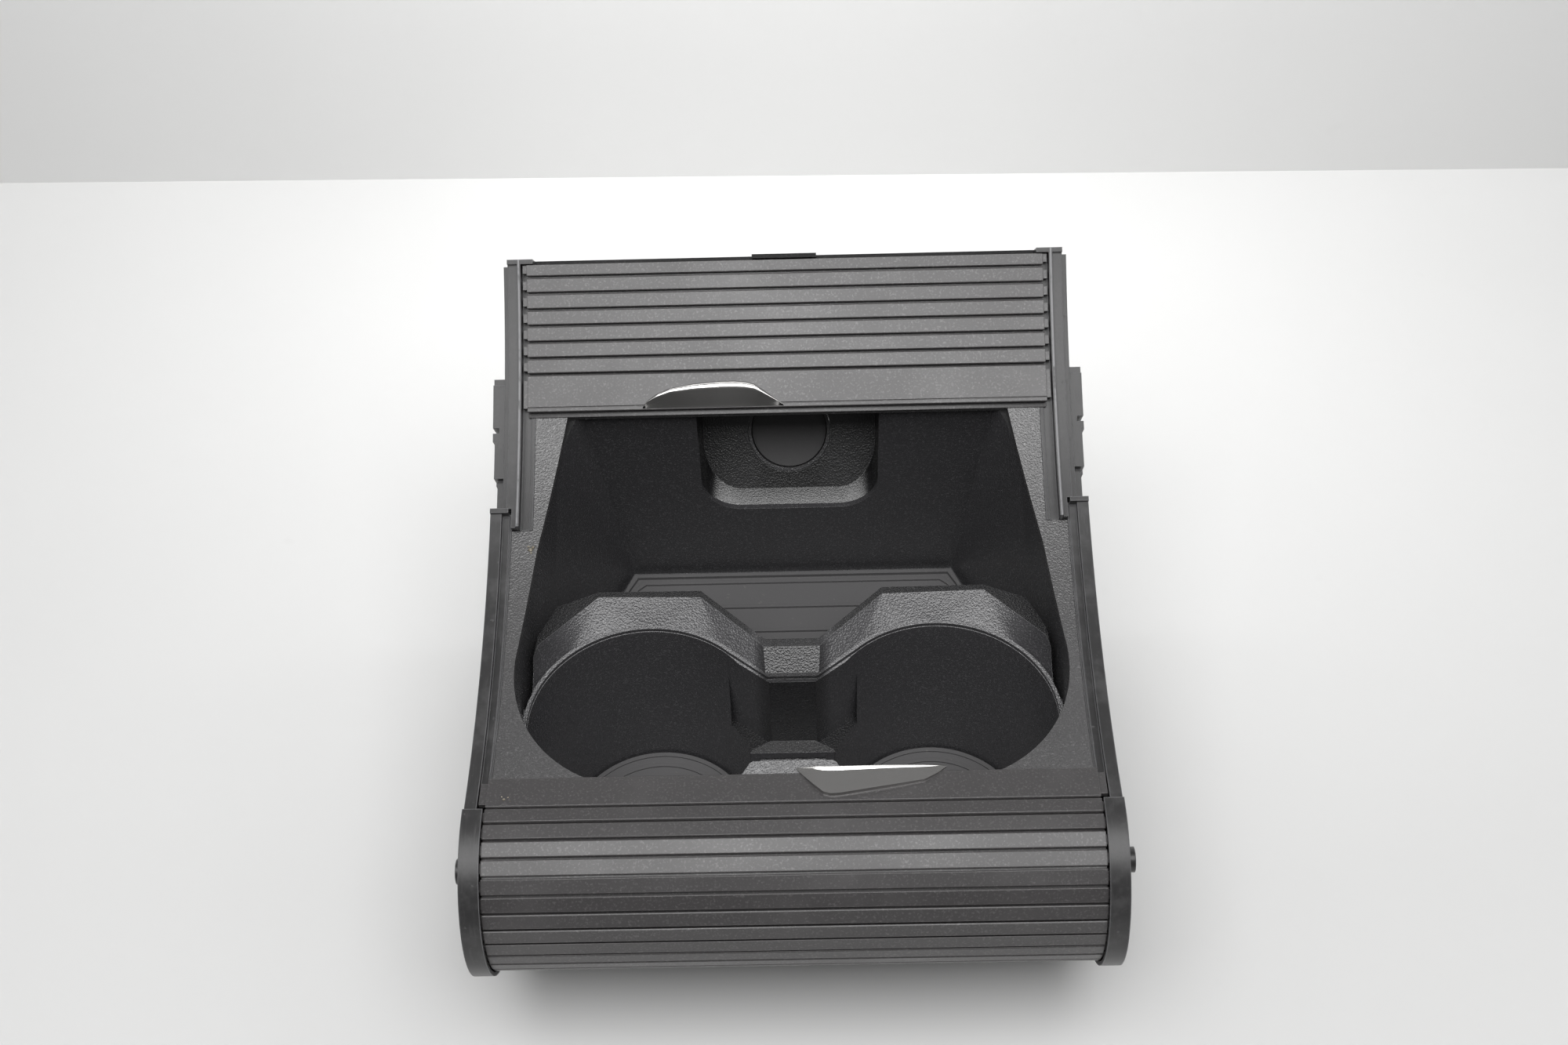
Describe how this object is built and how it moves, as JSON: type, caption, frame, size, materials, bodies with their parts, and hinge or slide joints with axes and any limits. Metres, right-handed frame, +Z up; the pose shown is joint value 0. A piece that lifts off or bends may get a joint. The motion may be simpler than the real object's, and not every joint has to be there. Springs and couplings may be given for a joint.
{
  "type": "car cup holder",
  "caption": "Car console cup holder: round wells and a storage bin under ribbed roller blinds that slide on curved side rails, with a socket pocket in the far wall.",
  "frame": {"origin": "centre of the base, at the bottom of the bounding box", "axes": "+X to the user's right, +Y from the rolled end to the far end, +Z up"},
  "size_m": [0.2126, 0.2308, 0.1557],
  "materials": {
    "plastic": "grained dark grey",
    "blind": "satin dark grey",
    "rubber": "matte",
    "satin": "satin chrome",
    "zinc": "zinc plated"
  },
  "bodies": {
    "housing": {"bezel": "plastic", "bin": "plastic", "pocket_housing": "plastic", "cup_insert": "plastic", "side_frame_left": "plastic", "side_frame_right": "plastic", "far_crossbar": "plastic", "rear_rail_left": "plastic", "rear_rail_right": "plastic", "front_rail_left": "plastic", "front_rail_right": "plastic", "side_plate_left": "plastic", "side_plate_right": "plastic", "bracket_left": "plastic", "bracket_right": "plastic", "cross_tube": "plastic", "socket_sleeve": "plastic", "cup_mat_left": "rubber", "cup_mat_right": "rubber", "storage_mat": "rubber", "socket_cap": "rubber", "frame_screws": "zinc"},
    "rear_lead": {"rear_lead_bar": "blind", "rear_handle": "satin"},
    "front_blind": {"front_lead_bar": "blind", "front_handle": "satin", "front_slat_1": "blind", "front_slat_2": "blind", "front_slat_3": "blind", "front_slat_4": "blind", "front_slat_5": "blind", "front_slat_6": "blind", "front_slat_7": "blind"},
    "rear_slat_body_1": {"rear_slat_1": "blind"},
    "rear_slat_body_2": {"rear_slat_2": "blind"},
    "rear_slat_body_3": {"rear_slat_3": "blind"},
    "rear_slat_body_4": {"rear_slat_4": "blind"},
    "rear_slat_body_5": {"rear_slat_5": "blind"},
    "rear_slat_body_6": {"rear_slat_6": "blind"},
    "rear_slat_body_7": {"rear_slat_7": "blind"},
    "rear_slat_body_8": {"rear_slat_8": "blind"},
    "rear_slat_body_9": {"rear_slat_9": "blind"},
    "rear_slat_body_10": {"rear_slat_10": "blind"},
    "rear_slat_body_11": {"rear_slat_11": "blind"},
    "rear_slat_body_12": {"rear_slat_12": "blind"},
    "rear_slat_body_13": {"rear_slat_13": "blind"},
    "rear_slat_body_14": {"rear_slat_14": "blind"},
    "rear_slat_body_15": {"rear_slat_15": "blind"},
    "rear_slat_body_16": {"rear_slat_16": "blind"}
  },
  "joints": [
    {"name": "rear_blind_slide", "type": "hinge", "parent": "housing", "child": "rear_lead", "pos_m": [0, -0.062, 0.33167], "axis": [1, 0, 0], "range_deg": [0, 21.72]},
    {"name": "front_blind_slide", "type": "hinge", "parent": "housing", "child": "front_blind", "pos_m": [0, -0.062, 0.33167], "axis": [1, 0, 0], "range_deg": [-9.67, 0]},
    {"name": "rear_slat_turn_1", "type": "hinge", "parent": "housing", "child": "rear_slat_body_1", "pos_m": [0, -0.06578, 0.36644], "axis": [1, 0, 0], "range_deg": [0, 18.98]},
    {"name": "rear_slat_turn_2", "type": "hinge", "parent": "housing", "child": "rear_slat_body_2", "pos_m": [0, -0.10949, 0.8214], "axis": [1, 0, 0], "range_deg": [0, 7.13]},
    {"name": "rear_slat_turn_3", "type": "hinge", "parent": "housing", "child": "rear_slat_body_3", "pos_m": [0, 0.05097, -0.99421], "axis": [1, 0, 0], "range_deg": [-4.75, 0]},
    {"name": "rear_slat_turn_4", "type": "hinge", "parent": "housing", "child": "rear_slat_body_4", "pos_m": [0, -0.02186, -0.21481], "axis": [1, 0, 0], "range_deg": [-16.61, 0]},
    {"name": "rear_slat_turn_5", "type": "hinge", "parent": "housing", "child": "rear_slat_body_5", "pos_m": [0, -0.03631, -0.08448], "axis": [1, 0, 0], "range_deg": [-28.46, 0]},
    {"name": "rear_slat_turn_6", "type": "hinge", "parent": "housing", "child": "rear_slat_body_6", "pos_m": [0, -0.04387, -0.03062], "axis": [1, 0, 0], "range_deg": [-40.32, 0]},
    {"name": "rear_slat_turn_7", "type": "hinge", "parent": "housing", "child": "rear_slat_body_7", "pos_m": [0, -0.04924, -0.00118], "axis": [1, 0, 0], "range_deg": [-52.18, 0]},
    {"name": "rear_slat_turn_8", "type": "hinge", "parent": "housing", "child": "rear_slat_body_8", "pos_m": [0, -0.05362, 0.01734], "axis": [1, 0, 0], "range_deg": [-64.04, 0]},
    {"name": "rear_slat_turn_9", "type": "hinge", "parent": "housing", "child": "rear_slat_body_9", "pos_m": [0, -0.05748, 0.02998], "axis": [1, 0, 0], "range_deg": [-75.89, 0]},
    {"name": "rear_slat_turn_10", "type": "hinge", "parent": "housing", "child": "rear_slat_body_10", "pos_m": [0, -0.06103, 0.03906], "axis": [1, 0, 0], "range_deg": [-87.75, 0]},
    {"name": "rear_slat_turn_11", "type": "hinge", "parent": "housing", "child": "rear_slat_body_11", "pos_m": [0, -0.06438, 0.0458], "axis": [1, 0, 0], "range_deg": [-99.61, 0]},
    {"name": "rear_slat_turn_12", "type": "hinge", "parent": "housing", "child": "rear_slat_body_12", "pos_m": [0, -0.06762, 0.0509], "axis": [1, 0, 0], "range_deg": [-111.46, 0]},
    {"name": "rear_slat_turn_13", "type": "hinge", "parent": "housing", "child": "rear_slat_body_13", "pos_m": [0, -0.07078, 0.05476], "axis": [1, 0, 0], "range_deg": [-123.32, 0]},
    {"name": "rear_slat_turn_14", "type": "hinge", "parent": "housing", "child": "rear_slat_body_14", "pos_m": [0, -0.07388, 0.05766], "axis": [1, 0, 0], "range_deg": [-135.18, 0]},
    {"name": "rear_slat_turn_15", "type": "hinge", "parent": "housing", "child": "rear_slat_body_15", "pos_m": [0, -0.07697, 0.05977], "axis": [1, 0, 0], "range_deg": [-147.03, 0]},
    {"name": "rear_slat_turn_16", "type": "hinge", "parent": "housing", "child": "rear_slat_body_16", "pos_m": [0, -0.08006, 0.06119], "axis": [1, 0, 0], "range_deg": [-158.89, 0]}
  ],
  "couplings": [
    {"joint": "rear_slat_turn_1", "follows": "rear_blind_slide", "ratio": 0.8733},
    {"joint": "rear_slat_turn_2", "follows": "rear_blind_slide", "ratio": 0.32753},
    {"joint": "rear_slat_turn_3", "follows": "rear_blind_slide", "ratio": -0.21825},
    {"joint": "rear_slat_turn_4", "follows": "rear_blind_slide", "ratio": -0.76402},
    {"joint": "rear_slat_turn_5", "follows": "rear_blind_slide", "ratio": -1.3098},
    {"joint": "rear_slat_turn_6", "follows": "rear_blind_slide", "ratio": -1.8556},
    {"joint": "rear_slat_turn_7", "follows": "rear_blind_slide", "ratio": -2.4014},
    {"joint": "rear_slat_turn_8", "follows": "rear_blind_slide", "ratio": -2.9471},
    {"joint": "rear_slat_turn_9", "follows": "rear_blind_slide", "ratio": -3.4929},
    {"joint": "rear_slat_turn_10", "follows": "rear_blind_slide", "ratio": -4.0387},
    {"joint": "rear_slat_turn_11", "follows": "rear_blind_slide", "ratio": -4.5845},
    {"joint": "rear_slat_turn_12", "follows": "rear_blind_slide", "ratio": -5.1302},
    {"joint": "rear_slat_turn_13", "follows": "rear_blind_slide", "ratio": -5.676},
    {"joint": "rear_slat_turn_14", "follows": "rear_blind_slide", "ratio": -6.2218},
    {"joint": "rear_slat_turn_15", "follows": "rear_blind_slide", "ratio": -6.7676},
    {"joint": "rear_slat_turn_16", "follows": "rear_blind_slide", "ratio": -7.3133}
  ]
}
